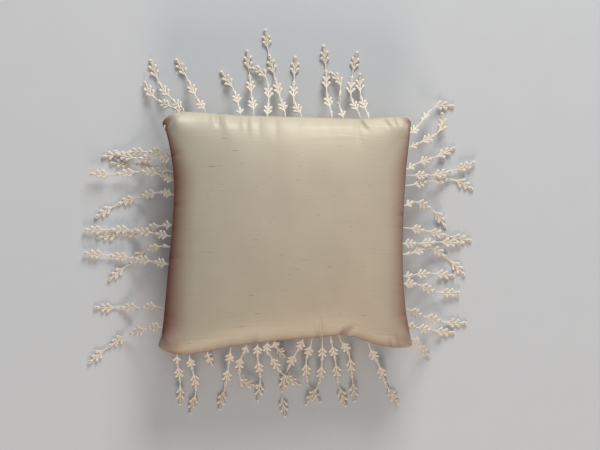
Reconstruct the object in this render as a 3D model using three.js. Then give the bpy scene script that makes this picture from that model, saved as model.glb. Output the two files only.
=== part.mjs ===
// Ring bearer pillow: a small stuffed silk cushion with a lace drop fringe caught in its seam.
// Millimetres, +Z up. The pillow rests on the plane z = 0, with the middle of its back at the origin.
// Front and back silk panels close over a stuffed inner form. The four lace headings lie in the
// seam between the panels, and each lace drop leaves the seam, hangs to the table and lies on it.
// The four fringe sides swing up about the seam.
import * as THREE from 'three';

// ---- Pillow ----
const PILLOW_SIDE = 200; // finished side, corner to corner along a seam
const FRONT_CROWN = 34; // height of the front face's middle above the seam
const SEAM_HEIGHT = 31; // height of the seam above the table
const SETTLING = 5; // how much deeper the back would hang if the table didn't flatten it
const BACK_CROWN = SEAM_HEIGHT + SETTLING;
const PANEL_WALL = 1.2; // silk with its interlining
const FULLNESS = 0.4; // lower is a fuller, squarer shoulder
const PANEL_RINGS = 8; // rows of facets from the middle to the seam
const PANEL_SEGMENTS = 60; // facets round the seam

// ---- Lace heading ----
const HEADING_THICK = 1.0;
const HEADING_WIDTH = 8;
const HEADING_SETBACK = 0.8; // how far the heading's edge stays inside the seam's edge
const HEADING_END_GAP = 14; // clear length at each corner, where one side's heading stops
const HEADING_STEPS = 12;
const SEAM_GAP = 0.3; // clearance between a panel's edge and the heading

// ---- Inner form ----
const FORM_CLEARANCE = 6.2; // from the heading's inner edge to the stuffed form
const FORM_INSET = HEADING_SETBACK + HEADING_WIDTH + FORM_CLEARANCE;
const FORM_WALL = 0.8;
const LAYER_GAP = 0.8; // clearance between one layer and the next at the crown
const FORM_JOIN_GAP = 0.4; // half the gap between the form's two halves
const FORM_RINGS = 7;
const FORM_SEGMENTS = 40;

// ---- Lace drops ----
const SPRIG_PITCH = 21; // from one sprig to the next along a drop
const LACE_THICK = 1.1;
const THREAD_WIDTH = 0.9;
const LEAF_SPREAD = 7.2; // across the lower pair of leaves
const UPPER_SPREAD = 6.2; // across the upper pair
const BUD_WIDTH = 2.4;
const FALL_RUN = 42; // how far out a drop travels while it falls to the table
const TABLE_GAP = 0.2; // the lowest lace above the table
const LACE_CLEARANCE = 0.7; // between a drop and one that lies across it
const LAYER_STEP = LACE_THICK + LACE_CLEARANCE;
const ROOT_GAP = 1.6; // from the seam's edge to the start of a drop
const SHORT_FALL = 0.95; // a drop too short for the full run falls over this share of its length
const ROUTE_SAMPLES = 60;
const SEAM_SAMPLES = 240;

// Seam outline seen from above, clockwise from the top left corner, in half sides.
// The sides pull in between the corners and the corners end in small ears.
const OUTLINE = [
  [-1.03, 0.88], [-0.95, 0.955], [-0.84, 0.97], [-0.45, 0.945], [0.14, 0.925], [0.62, 0.915],
  [0.92, 0.925], [1.0, 0.9], [1.0, 0.8], [0.965, 0.45], [0.94, -0.2], [0.965, -0.65],
  [1.0, -0.86], [1.015, -0.945], [0.93, -0.965], [0.75, -0.945], [0.55, -0.88], [0.43, -0.862],
  [0.3, -0.875], [-0.1, -0.91], [-0.45, -0.955], [-0.8, -1.02], [-0.95, -1.01], [-1.06, -0.96],
  [-1.035, -0.85], [-0.99, -0.4], [-0.945, 0.1], [-0.935, 0.4], [-0.975, 0.7], [-1.0, 0.8],
];

// The four sides, clockwise. turn swings the top side's frame onto each: in that frame +X runs
// along the seam and +Y points away from the pillow. hinge is the fold line's distance from the
// middle, just outside the seam.
const SIDES = [
  { name: 'top', turn: 0, hinge: 0.99 },
  { name: 'right', turn: -Math.PI / 2, hinge: 1.03 },
  { name: 'bottom', turn: Math.PI, hinge: 1.04 },
  { name: 'left', turn: Math.PI / 2, hinge: 1.05 },
];

// Each drop: where its root sits along its side, in millimetres from the side's middle on the
// 200 mm pillow, the layer it lies in, and its route as [distance out, drift along the seam].
const DROPS = {
  top: [
    [-85, 0, [9, -9], [22, -20], [44, -29]],
    [-90, 1, [8, -14], [13, -21], [26, -29]],
    [-68, 0, [10, -6], [30, -16], [45, -25]],
    [-39, 0, [16, -4], [23, -7], [37, -17]],
    [-28, 0, [17, -2], [36, -4], [55, -6]],
    [-17, 1, [16, 1], [31, -1], [38, -7], [40, -15]],
    [-2, 0, [14, -4], [33, -9], [52, -14], [73, -17]],
    [11, 0, [13, -6], [32, -6], [51, -5]],
    [36, 0, [20, -4], [41, -5], [61, -7]],
    [45, 1, [12, -3], [29, -2], [36, -7], [38, -12]],
    [60, 0, [17, -8], [36, -7], [56, -3]],
    [66, 1, [18, -6], [38, -7]],
  ],
  right: [
    [-80, 0, [9, -8], [15, -16], [23, -22], [37, -22]],
    [-68, 1, [8, -3], [23, -11], [28, -18], [28, -29]],
    [-50, 0, [8, -4], [27, -11], [41, -18]],
    [-45, 1, [21, 0], [40, -4], [58, -11]],
    [-36, 0, [20, -4], [41, -5], [57, 3]],
    [-20, 0, [9, -3], [24, 4], [35, 18]],
    [-2, 0, [20, 3], [41, 8], [57, 11]],
    [11, 1, [16, 0], [32, -1], [49, 0]],
    [20, 0, [7, -1], [24, -5], [39, 5], [52, 18]],
    [38, 0, [8, -1], [25, -2], [43, 0]],
    [44, 1, [12, 1], [28, 7], [47, 8]],
    [65, 0, [16, 6], [33, 11], [51, 12]],
    [78, 0, [6, 2], [22, 5], [39, 7]],
    [89, 0, [7, 6], [16, 16]],
  ],
  bottom: [
    [91, 0, [6, 0], [22, -2], [43, -2]],
    [81, 0, [11, -2], [29, -5], [50, 0]],
    [66, 0, [5, -1], [12, -4]],
    [47, 0, [15, 2], [33, 5], [53, 10]],
    [34, 2, [12, 5], [17, 6], [30, 4], [34, -9]],
    [25, 0, [11, 0], [29, -2], [49, 0]],
    [-12, 0, [11, 5], [27, 13], [45, 17], [66, 14]],
    [17, 2, [8, 0], [12, -3], [26, -12], [36, -28]],
    [11, 0, [7, -3], [14, -10]],
    [-20, 0, [19, 5], [39, 3], [54, -7]],
    [-28, 1, [19, 0], [39, 3], [57, 14]],
    [-35, 0, [21, -4], [41, -7], [59, -13]],
    [-41, 1, [13, -8], [36, -12], [56, -14]],
    [-65, 0, [18, -9], [36, -16], [53, -26]],
  ],
  left: [
    [66, 0, [16, -2], [33, -2], [57, -6]],
    [59, 1, [9, 0], [29, 0], [48, 4]],
    [48, 0, [9, 3], [29, 6], [53, 7]],
    [41, 3, [16, 6], [27, 7], [48, 5], [70, 5]],
    [29, 0, [10, 2], [31, -2], [49, -9], [66, -19]],
    [4, 0, [7, 0], [31, -6], [63, -10]],
    [-5, 1, [13, 2], [36, 5], [55, 5], [73, 5]],
    [-14, 0, [5, 1], [21, -4], [36, -15], [52, -28]],
    [-28, 1, [13, 2], [32, 5], [51, 7], [71, 9]],
    [-65, 0, [7, 2], [19, 1], [39, 1], [59, 1]],
    [-80, 0, [9, 0], [28, -6], [46, -17], [62, -30]],
  ],
};

const HALF = PILLOW_SIDE / 2;
const RIM = HEADING_THICK / 2 + SEAM_GAP; // a panel's edge above or below the seam's own height
const seamCurve = new THREE.CatmullRomCurve3(
  OUTLINE.map(([x, y]) => new THREE.Vector3(x * HALF, y * HALF, 0)),
  true,
);

function finish(name, color, roughness) {
  return new THREE.MeshStandardMaterial({ name, color, roughness, metalness: 0 });
}

function piece(name, geometry, material) {
  geometry.deleteAttribute('normal');
  geometry.deleteAttribute('uv');
  const mesh = new THREE.Mesh(geometry, material);
  mesh.name = name;
  return mesh;
}

// ---- Cushion layers ----

// A layer is one face of a cushion: side is 1 above the seam and -1 below it, inset pulls its edge
// in from the seam, and depth is how far its middle lies under the silk.
function layer(side, inset, depth, rim) {
  const crown = (side > 0 ? FRONT_CROWN : BACK_CROWN) - depth - rim;
  return { side, inset, rim, crown, floor: side < 0 ? depth : 0 };
}

// Its point at a turn (0 to 1 round the seam) and a share (0 at the middle, 1 at the edge):
// height = crown * ((1 - u^2)(1 - v^2))^FULLNESS over the square, flattened where it rests.
function layerPoint({ side, inset, rim, crown, floor }, turn, share) {
  const edge = seamCurve.getPoint(turn);
  const reach = Math.max(Math.abs(edge.x), Math.abs(edge.y));
  const u = (share * edge.x) / reach;
  const v = (share * edge.y) / reach;
  const swell = Math.pow(Math.max(0, (1 - u * u) * (1 - v * v)), FULLNESS);
  const height = SEAM_HEIGHT + side * (rim + crown * swell);
  const point = edge.multiplyScalar((share * (reach - inset)) / reach);
  return point.setZ(Math.max(height, floor));
}

// A closed solid between two layers, as a lathe whose rings are laid out on the seam's outline.
function layeredSolid(outer, inner, rings, segments) {
  const shares = Array.from({ length: rings + 1 }, (_, i) => Math.sin((Math.PI / 2) * (i / rings)));
  const across = (side) => shares.map((share) => ({ share, side }));
  const profile = [...across(outer), ...across(inner).reverse()];
  if (outer.side < 0) profile.reverse();
  const onAxis = (i) => i === 0 || i === profile.length - 1;
  const lathe = new THREE.LatheGeometry(
    profile.map((_, i) => new THREE.Vector2(onAxis(i) ? 0 : 1, i)),
    segments,
  );
  const place = lathe.attributes.position;
  for (let i = 0; i < place.count; i += 1) {
    const turn = (Math.floor(i / profile.length) % segments) / segments;
    const { share, side } = profile[i % profile.length];
    const point = layerPoint(side, turn, share);
    place.setXYZ(i, point.x, point.y, point.z);
  }
  return lathe;
}

function addPanels(pillow) {
  for (const [name, side] of [['front_panel', 1], ['back_panel', -1]]) {
    const outer = layer(side, 0, 0, RIM);
    const inner = layer(side, PANEL_WALL, PANEL_WALL, RIM);
    const shell = layeredSolid(outer, inner, PANEL_RINGS, PANEL_SEGMENTS);
    pillow.add(piece(name, shell, finish('silk', 0xcdbfa2, 0.45)));
  }
}

function addForm(pillow) {
  const outerDepth = PANEL_WALL + LAYER_GAP;
  const innerDepth = outerDepth + FORM_WALL;
  for (const [name, side] of [['form_front', 1], ['form_back', -1]]) {
    const outer = layer(side, FORM_INSET, outerDepth, FORM_JOIN_GAP);
    const inner = layer(side, FORM_INSET + FORM_WALL, innerDepth, FORM_JOIN_GAP);
    const shell = layeredSolid(outer, inner, FORM_RINGS, FORM_SEGMENTS);
    pillow.add(piece(name, shell, finish('muslin', 0xe6e0d2, 0.9)));
  }
  const fillInset = FORM_INSET + FORM_WALL + LAYER_GAP;
  const fillDepth = innerDepth + LAYER_GAP;
  const upper = layer(1, fillInset, fillDepth, 0);
  const lower = layer(-1, fillInset, fillDepth, 0);
  const filling = layeredSolid(upper, lower, FORM_RINGS, FORM_SEGMENTS);
  pillow.add(piece('fibre_filling', filling, finish('fibrefill', 0xf4f2ec, 1)));
}

// ---- Lace ----

// How far out the seam lies at a place along a side, in that side's own frame.
function seamOut(side, along) {
  const upright = new THREE.Vector3(0, 0, 1);
  const points = seamCurve.getPoints(SEAM_SAMPLES).map((p) => p.applyAxisAngle(upright, -side.turn));
  let out = 0;
  points.slice(1).forEach((b, i) => {
    const a = points[i];
    if ((a.x - along) * (b.x - along) > 0 || a.x === b.x) return;
    out = Math.max(out, a.y + ((along - a.x) / (b.x - a.x)) * (b.y - a.y));
  });
  return out;
}

// A box whose slices along X are laid one by one on stations, each a place with its own width.
function bentStrip(stations, thick) {
  const steps = stations.length - 1;
  const strip = new THREE.BoxGeometry(steps, 1, 1, steps, 1, 1);
  const place = strip.attributes.position;
  for (let i = 0; i < place.count; i += 1) {
    const { at, across, up, width } = stations[Math.round(place.getX(i) + steps / 2)];
    const point = at.clone();
    point.addScaledVector(across, place.getY(i) * width);
    point.addScaledVector(up, place.getZ(i) * thick);
    place.setXYZ(i, point.x, point.y, point.z);
  }
  return strip;
}

// The flat heading of one side, caught between the panels' edges.
function headingStrip(side) {
  const reach = HALF - HEADING_END_GAP;
  const stations = Array.from({ length: HEADING_STEPS + 1 }, (_, i) => {
    const along = reach * ((2 * i) / HEADING_STEPS - 1);
    const middle = seamOut(side, along) - HEADING_SETBACK - HEADING_WIDTH / 2;
    return {
      at: new THREE.Vector3(along, middle, SEAM_HEIGHT),
      across: new THREE.Vector3(0, 1, 0),
      up: new THREE.Vector3(0, 0, 1),
      width: HEADING_WIDTH,
    };
  });
  return bentStrip(stations, HEADING_THICK);
}

// A drop's middle line: along its route, falling as (1 - distance / run)^2 from seam to table.
function dropLine(side, [rootAlong, lift, ...route]) {
  const root = (rootAlong / 100) * HALF;
  const seam = seamOut(side, root);
  const plan = new THREE.CatmullRomCurve3([
    new THREE.Vector3(root, seam + ROOT_GAP, 0),
    ...route.map(([out, drift]) => new THREE.Vector3(root + drift, seam + out, 0)),
  ]);
  const length = plan.getLength();
  const run = Math.min(FALL_RUN, length * SHORT_FALL);
  const lie = TABLE_GAP + LACE_THICK / 2 + lift * LAYER_STEP;
  const points = plan.getSpacedPoints(ROUTE_SAMPLES);
  points.forEach((point, i) => {
    const left = Math.max(0, 1 - (i / ROUTE_SAMPLES) * (length / run));
    point.setZ(lie + (SEAM_HEIGHT - lie) * left * left);
  });
  return new THREE.CatmullRomCurve3(points);
}

// Widths along a drop, from its tip back to its root: bud, upper leaves, lower leaves and thread
// in each sprig, then bare thread to the root.
const SPRIG = [
  [0, THREAD_WIDTH],
  [0.14, BUD_WIDTH],
  [0.24, UPPER_SPREAD],
  [0.5, LEAF_SPREAD],
  [0.79, THREAD_WIDTH],
];

function dropWidths(length) {
  const widths = [];
  for (let sprig = 0; sprig * SPRIG_PITCH < length; sprig += 1) {
    widths.push(...SPRIG.map(([share, width]) => [(sprig + share) * SPRIG_PITCH, width]));
  }
  const kept = widths.filter(([fromTip]) => fromTip < length - ROOT_GAP);
  return [...kept, [length, THREAD_WIDTH]];
}

function dropStrip(side, row) {
  const line = dropLine(side, row);
  const length = line.getLength();
  const stations = dropWidths(length).reverse().map(([fromTip, width]) => {
    const share = 1 - fromTip / length;
    const tangent = line.getTangentAt(share);
    const across = new THREE.Vector3(-tangent.y, tangent.x, 0).normalize();
    const up = new THREE.Vector3().crossVectors(tangent, across);
    return { at: line.getPointAt(share), across, up, width };
  });
  return bentStrip(stations, LACE_THICK);
}

// One side's heading stays in the seam; its drops hang from a pivot on the side's fold line.
function addFringe(pillow, side) {
  const edge = new THREE.Group();
  edge.rotation.z = side.turn;
  pillow.add(edge);
  const lace = () => finish('lace', 0xead9c2, 0.75);
  edge.add(piece(`${side.name}_heading`, headingStrip(side), lace()));
  const pivot = new THREE.Group();
  pivot.position.set(0, side.hinge * HALF, SEAM_HEIGHT);
  edge.add(pivot);
  DROPS[side.name].forEach((row, i) => {
    const name = `${side.name}_drop_${String(i + 1).padStart(2, '0')}`;
    const drop = piece(name, dropStrip(side, row), lace());
    drop.position.copy(pivot.position).negate();
    pivot.add(drop);
  });
}

const pillow = new THREE.Group();
addPanels(pillow);
addForm(pillow);
SIDES.forEach((side) => addFringe(pillow, side));

export default pillow;
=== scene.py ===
"""Ring bearer pillow: a small stuffed dupioni silk cushion with a guipure lace drop fringe.

Metres, +Z up. The pillow lies on the table at z = 0 with the middle of its back at the origin.
Two silk panels close over a muslin form full of fibre. Four lace headings are caught in the seam,
and the lace drops leave the seam, fall to the table and lie on it.
"""

import math

import bmesh
import bpy
import numpy as np
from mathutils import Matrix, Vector


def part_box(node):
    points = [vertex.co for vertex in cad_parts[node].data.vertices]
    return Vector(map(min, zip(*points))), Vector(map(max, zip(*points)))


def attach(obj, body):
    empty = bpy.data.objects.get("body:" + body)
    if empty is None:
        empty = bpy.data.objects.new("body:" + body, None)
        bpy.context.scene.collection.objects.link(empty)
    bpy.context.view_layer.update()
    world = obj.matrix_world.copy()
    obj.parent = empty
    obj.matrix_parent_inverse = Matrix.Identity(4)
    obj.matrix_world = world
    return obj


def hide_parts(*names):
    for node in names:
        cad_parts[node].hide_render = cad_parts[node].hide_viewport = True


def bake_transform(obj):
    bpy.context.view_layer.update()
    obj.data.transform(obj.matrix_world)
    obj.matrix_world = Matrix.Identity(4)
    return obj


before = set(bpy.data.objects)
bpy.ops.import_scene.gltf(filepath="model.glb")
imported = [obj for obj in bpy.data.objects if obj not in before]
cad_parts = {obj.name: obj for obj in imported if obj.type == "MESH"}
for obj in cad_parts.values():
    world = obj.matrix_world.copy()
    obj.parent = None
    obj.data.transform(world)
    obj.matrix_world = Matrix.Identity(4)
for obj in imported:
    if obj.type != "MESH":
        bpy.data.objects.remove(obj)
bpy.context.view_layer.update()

MM = 0.001
DEGREE = math.pi / 180
UP = np.array([0.0, 0.0, 1.0])
rng = np.random.default_rng(11)

# ---- Sizes read from the frame ----
front_low, front_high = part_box("front_panel")
_, back_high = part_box("back_panel")
SEAM_Z = (front_low.z + back_high.z) / 2
FRONT_CROWN = front_high.z - SEAM_Z
HALF_SIDE = 100 * MM

# ---- Pillow ----
SETTLING = 5 * MM  # how much deeper the back would hang if the table didn't flatten it
BACK_CROWN = SEAM_Z + SETTLING
FULLNESS = 0.4  # lower is a fuller, squarer shoulder
SEAM_LIP = 0.35 * MM  # each silk edge above or below the middle of the seam
SILK_THICK = 0.6 * MM
COARSE_CELLS = 64  # cells across a panel while it is filled
FINE_CELLS = 168  # cells across a finished panel
INNER_CELLS = 72  # cells across the muslin form and the filling
EDGE_CROWDING = 0.6  # 0 spaces the cells evenly, 1 crowds them into the seam
FILL_CAP = 4 * MM  # how far the filling may push the silk
FILL_FRAMES = 20
FILL_PRESSURE = 4.0
SEAM_THREAD = 0.45 * MM  # the sewing thread where it is widest
STITCH = 2.5 * MM
THREAD_INSET = 0.3 * MM  # from the seam's line in to the middle of the thread
SEAM_POINTS = 2401  # along the whole seam
SIDE_POINTS = 400  # along one side of it

# Seam outline seen from above, clockwise from the top left ear, in half sides.
OUTLINE = [
    [-1.03, 0.88], [-0.95, 0.955], [-0.84, 0.97], [-0.45, 0.945], [0.14, 0.925], [0.62, 0.915],
    [0.92, 0.925], [1.0, 0.9], [1.0, 0.8], [0.965, 0.45], [0.94, -0.2], [0.965, -0.65],
    [1.0, -0.86], [1.015, -0.945], [0.93, -0.965], [0.75, -0.945], [0.55, -0.88], [0.43, -0.862],
    [0.3, -0.875], [-0.1, -0.91], [-0.45, -0.955], [-0.8, -1.02], [-0.95, -1.01], [-1.06, -0.96],
    [-1.035, -0.85], [-0.99, -0.4], [-0.945, 0.1], [-0.935, 0.4], [-0.975, 0.7], [-1.0, 0.8],
]
# Places in OUTLINE of the four corners: top left, top right, bottom right, bottom left.
CORNERS = (0, 7, 13, 23)

# ---- Lace ----
SPRIG_PITCH = 21 * MM
LACE_THICK = 1.1 * MM
FALL_RUN = 42 * MM  # how far along its plan a long drop comes down to its layer
SHORT_FALL = 0.95  # a short drop comes down at this share of its length
TABLE_GAP = 0.2 * MM  # under the lowest layer
LAYER_STEP = 1.6 * MM  # from one layer of drops to the next; the solids' own step is 1.8 mm
ROOT_GAP = 1.6 * MM  # from the seam to the start of a drop's fall
ROOT_TUCK = 2.5 * MM  # how far a drop's thread runs back into the seam
PLAN_POINTS = 400  # along a drop's plan, before it is divided evenly
DROP_POINTS = 161  # along a drop's middle line
DROP_STEPS = 400  # along the frame that a drop's cords are laid in
BEND_START = 1 * MM  # inside the seam
BEND_END = 12 * MM  # outside the fold line
HEADING_WIDTH = 8 * MM
HEADING_THICK = 0.7 * MM
HEADING_END_GAP = 14 * MM
HEADING_RINGS = 173
HEADING_SIDES = 10
SCALLOP = 0.5 * MM
SCALLOP_PITCH = 3 * MM

# The sides, clockwise: the turn that swings the top side onto each, and how far out its fold
# line lies, in half sides.
SIDES = {
    "top": (0.0, 0.99),
    "right": (-math.pi / 2, 1.03),
    "bottom": (math.pi, 1.04),
    "left": (math.pi / 2, 1.05),
}

# Each drop in millimetres: its root along the side, the layer it lies in, then its route as
# [distance out, drift along the seam].
DROPS = {
    "top": [
        [-85, 0, [9, -9], [22, -20], [44, -29]],
        [-90, 1, [8, -14], [13, -21], [26, -29]],
        [-68, 0, [10, -6], [30, -16], [45, -25]],
        [-39, 0, [16, -4], [23, -7], [37, -17]],
        [-28, 0, [17, -2], [36, -4], [55, -6]],
        [-17, 1, [16, 1], [31, -1], [38, -7], [40, -15]],
        [-2, 0, [14, -4], [33, -9], [52, -14], [73, -17]],
        [11, 0, [13, -6], [32, -6], [51, -5]],
        [36, 0, [20, -4], [41, -5], [61, -7]],
        [45, 1, [12, -3], [29, -2], [36, -7], [38, -12]],
        [60, 0, [17, -8], [36, -7], [56, -3]],
        [66, 1, [18, -6], [38, -7]],
    ],
    "right": [
        [-80, 0, [9, -8], [15, -16], [23, -22], [37, -22]],
        [-68, 1, [8, -3], [23, -11], [28, -18], [28, -29]],
        [-50, 0, [8, -4], [27, -11], [41, -18]],
        [-45, 1, [21, 0], [40, -4], [58, -11]],
        [-36, 0, [20, -4], [41, -5], [57, 3]],
        [-20, 0, [9, -3], [24, 4], [35, 18]],
        [-2, 0, [20, 3], [41, 8], [57, 11]],
        [11, 1, [16, 0], [32, -1], [49, 0]],
        [20, 0, [7, -1], [24, -5], [39, 5], [52, 18]],
        [38, 0, [8, -1], [25, -2], [43, 0]],
        [44, 1, [12, 1], [28, 7], [47, 8]],
        [65, 0, [16, 6], [33, 11], [51, 12]],
        [78, 0, [6, 2], [22, 5], [39, 7]],
        [89, 0, [7, 6], [16, 16]],
    ],
    "bottom": [
        [91, 0, [6, 0], [22, -2], [43, -2]],
        [81, 0, [11, -2], [29, -5], [50, 0]],
        [66, 0, [5, -1], [12, -4]],
        [47, 0, [15, 2], [33, 5], [53, 10]],
        [34, 2, [12, 5], [17, 6], [30, 4], [34, -9]],
        [25, 0, [11, 0], [29, -2], [49, 0]],
        [-12, 0, [11, 5], [27, 13], [45, 17], [66, 14]],
        [17, 2, [8, 0], [12, -3], [26, -12], [36, -28]],
        [11, 0, [7, -3], [14, -10]],
        [-20, 0, [19, 5], [39, 3], [54, -7]],
        [-28, 1, [19, 0], [39, 3], [57, 14]],
        [-35, 0, [21, -4], [41, -7], [59, -13]],
        [-41, 1, [13, -8], [36, -12], [56, -14]],
        [-65, 0, [18, -9], [36, -16], [53, -26]],
    ],
    "left": [
        [66, 0, [16, -2], [33, -2], [57, -6]],
        [59, 1, [9, 0], [29, 0], [48, 4]],
        [48, 0, [9, 3], [29, 6], [53, 7]],
        [41, 3, [16, 6], [27, 7], [48, 5], [70, 5]],
        [29, 0, [10, 2], [31, -2], [49, -9], [66, -19]],
        [4, 0, [7, 0], [31, -6], [63, -10]],
        [-5, 1, [13, 2], [36, 5], [55, 5], [73, 5]],
        [-14, 0, [5, 1], [21, -4], [36, -15], [52, -28]],
        [-28, 1, [13, 2], [32, 5], [51, 7], [71, 9]],
        [-65, 0, [7, 2], [19, 1], [39, 1], [59, 1]],
        [-80, 0, [9, 0], [28, -6], [46, -17], [62, -30]],
    ],
}


# ---- Curves ----


def smooth_curve(points, places, closed=False):
    """Centripetal Catmull-Rom: each span is a cubic through its two points, with end slopes set
    by the neighbours and the square roots of their distances. places run from 0 to 1."""
    points = np.asarray(points, float)
    if closed:
        ring = np.vstack([points[-1:], points, points[:2]])
        spans = len(points)
    else:
        ring = np.vstack([2 * points[:1] - points[1:2], points, 2 * points[-1:] - points[-2:-1]])
        spans = len(points) - 1
    along = np.clip(places, 0, 1) * spans
    start = np.minimum(along.astype(int), spans - 1)
    share = (along - start)[:, None]
    before, here, there, after = (ring[start + step] for step in range(4))

    def knot(a, b):
        return np.maximum(np.sum((b - a) ** 2, axis=1), 1e-14)[:, None] ** 0.25

    first, middle, last = knot(before, here), knot(here, there), knot(there, after)
    leave = (here - before) / first - (there - before) / (first + middle) + (there - here) / middle
    arrive = (there - here) / middle - (after - here) / (middle + last) + (after - there) / last
    leave = leave * middle
    arrive = arrive * middle
    cubic = 2 * here - 2 * there + leave + arrive
    square = -3 * here + 3 * there - 2 * leave - arrive
    return ((cubic * share + square) * share + leave) * share + here


def lengths_along(points):
    """Distance from the first point to each, along the line through them."""
    steps = np.linalg.norm(np.diff(points, axis=0), axis=1)
    return np.concatenate([[0.0], np.cumsum(steps)])


def at_lengths(points, wanted):
    """The points at the wanted distances along a line, straight between its points."""
    reached = lengths_along(points)
    return np.stack([np.interp(wanted, reached, column) for column in points.T], axis=1)


def even_points(points, count):
    return at_lengths(points, np.linspace(0, lengths_along(points)[-1], count))


def smooth_step(value, low, high):
    share = np.clip((value - low) / (high - low), 0, 1)
    return share * share * (3 - 2 * share)


SEAM_LINE = smooth_curve(np.array(OUTLINE) * HALF_SIDE, np.linspace(0, 1, SEAM_POINTS), closed=True)


# ---- Meshes ----


def quads(index):
    """Four-cornered faces between neighbouring rows and columns of a grid of vertex numbers."""
    corners = [index[:-1, :-1], index[:-1, 1:], index[1:, 1:], index[1:, :-1]]
    return np.stack(corners, axis=-1).reshape(-1, 4)


def tube_faces(tubes, rings, sides):
    """Faces round a number of open tubes, whose points run tube by tube and ring by ring."""
    index = np.arange(tubes * rings * sides).reshape(tubes, rings, sides)
    index = np.concatenate([index, index[..., :1]], axis=2)
    corners = [index[:, :-1, :-1], index[:, 1:, :-1], index[:, 1:, 1:], index[:, :-1, 1:]]
    return np.stack(corners, axis=-1).reshape(-1, 4)


def mesh_piece(name, points, faces, uv=None, masks=None):
    """An object at the origin from arrays of points and four-cornered faces."""
    mesh = bpy.data.meshes.new(name)
    mesh.vertices.add(len(points))
    mesh.vertices.foreach_set("co", np.ascontiguousarray(points, dtype=np.float32).ravel())
    mesh.loops.add(faces.size)
    mesh.loops.foreach_set("vertex_index", np.ascontiguousarray(faces, dtype=np.int32).ravel())
    mesh.polygons.add(len(faces))
    mesh.polygons.foreach_set("loop_start", np.arange(0, faces.size, 4, dtype=np.int32))
    mesh.polygons.foreach_set("use_smooth", np.ones(len(faces), dtype=bool))
    if uv is not None:
        layer = mesh.uv_layers.new(name="cloth")
        layer.data.foreach_set("uv", uv[faces.ravel()].astype(np.float32).ravel())
    for mask, values in (masks or {}).items():
        attribute = mesh.attributes.new(mask, "FLOAT", "POINT")
        attribute.data.foreach_set("value", values.astype(np.float32).ravel())
    mesh.update(calc_edges=True)
    piece = bpy.data.objects.new(name, mesh)
    bpy.context.scene.collection.objects.link(piece)
    return piece


def close_poles(piece, gap=1e-6):
    """Merges the rings that end in a point, so that each cord is closed."""
    build = bmesh.new()
    build.from_mesh(piece.data)
    bmesh.ops.remove_doubles(build, verts=build.verts, dist=gap)
    build.to_mesh(piece.data)
    build.free()
    piece.data.update()


# ---- The pillow's shape ----


def crowded(cells):
    """Grid places from -1 to 1, closer together towards both ends."""
    even = np.linspace(-1, 1, cells + 1)
    return (1 - EDGE_CROWDING) * even + EDGE_CROWDING * np.sin(even * math.pi / 2)


def seam_side(first, last, places):
    """Points of the seam between two of its corners, at shares of the length between them."""
    start = first / len(OUTLINE)
    end = last / len(OUTLINE)
    line = smooth_curve(np.array(OUTLINE) * HALF_SIDE, np.linspace(start, end, SIDE_POINTS), closed=True)
    return at_lengths(line, places * lengths_along(line)[-1])


def panel_plan(cells):
    """A Coons patch over the seam: each point is the sum of the two blends between opposite
    sides, less the blend of the four corners. Rows run across, columns up."""
    places = (crowded(cells) + 1) / 2
    top_left, top_right, bottom_right, bottom_left = CORNERS
    top = seam_side(top_left, top_right, places)
    right = seam_side(top_right, bottom_right, places)[::-1]
    bottom = seam_side(bottom_right, bottom_left, places)[::-1]
    left = seam_side(bottom_left, len(OUTLINE), places)
    across = places[None, :, None]
    up = places[:, None, None]
    lofts = (1 - up) * bottom[None] + up * top[None] + (1 - across) * left[:, None]
    lofts = lofts + across * right[:, None]
    corners = (1 - across) * (1 - up) * bottom[0] + across * (1 - up) * bottom[-1]
    corners = corners + (1 - across) * up * top[0] + across * up * top[-1]
    return lofts - corners


def cushion_face(cells, side, inset=0.0, depth=0.0, lip=SEAM_LIP):
    """One face of a cushion: height = crown ((1 - u^2)(1 - v^2))^fullness above the seam for
    side 1 and below it for side -1, flattened at the table. inset pulls the edge in and depth
    lowers the middle."""
    plan = panel_plan(cells)
    plan = plan * (1 - inset / HALF_SIDE)
    places = crowded(cells)
    swell = ((1 - places[None, :] ** 2) * (1 - places[:, None] ** 2)) ** FULLNESS
    crown = (FRONT_CROWN if side > 0 else BACK_CROWN) - depth - lip
    height = SEAM_Z + side * (lip + crown * swell)
    if side < 0:
        height = soft_floor(height, depth)
    return np.dstack([plan, height])


def soft_floor(height, floor, blend=2.5 * MM):
    """The greater of height and floor, rounded where they meet."""
    over = (height - floor) / blend
    return floor + blend * np.where(over > 20, over, np.log1p(np.exp(np.minimum(over, 20)))) * (
        over > -20
    )


# The corners' ears: the tip's place in OUTLINE, how far it hangs below the seam, then in
# millimetres the two ends of the fold where the full shoulder meets the flat ear, and the
# height of the shoulder behind that fold.
EARS = [
    (0, 4.5, (-93.5, 96.0), (-99.5, 83.5), 7.0),
    (7, 1.0, (104.0, 83.0), (92.0, 92.5), 5.0),
    (13, 0.0, (93.0, -96.5), (103.0, -88.0), 5.0),
    (23, 0.5, (-104.5, -90.0), (-99.0, -101.5), 6.5),
]
EAR_REACH = 9 * MM  # the bell curve of a hanging ear
SHOULDER_WAY = 5 * MM  # how far in from its fold a shoulder is highest
SHOULDER_SPREAD = 11 * MM  # the bell curve of a shoulder along its fold


def drop_the_ears(points):
    """Lets each ear hang: a bell curve about its tip."""
    for place, hang, *_ in EARS:
        away = np.linalg.norm(points[..., :2] - np.array(OUTLINE[place]) * HALF_SIDE, axis=-1)
        points[..., 2] -= hang * MM * np.exp(-((away / EAR_REACH) ** 2))
    return points


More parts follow.
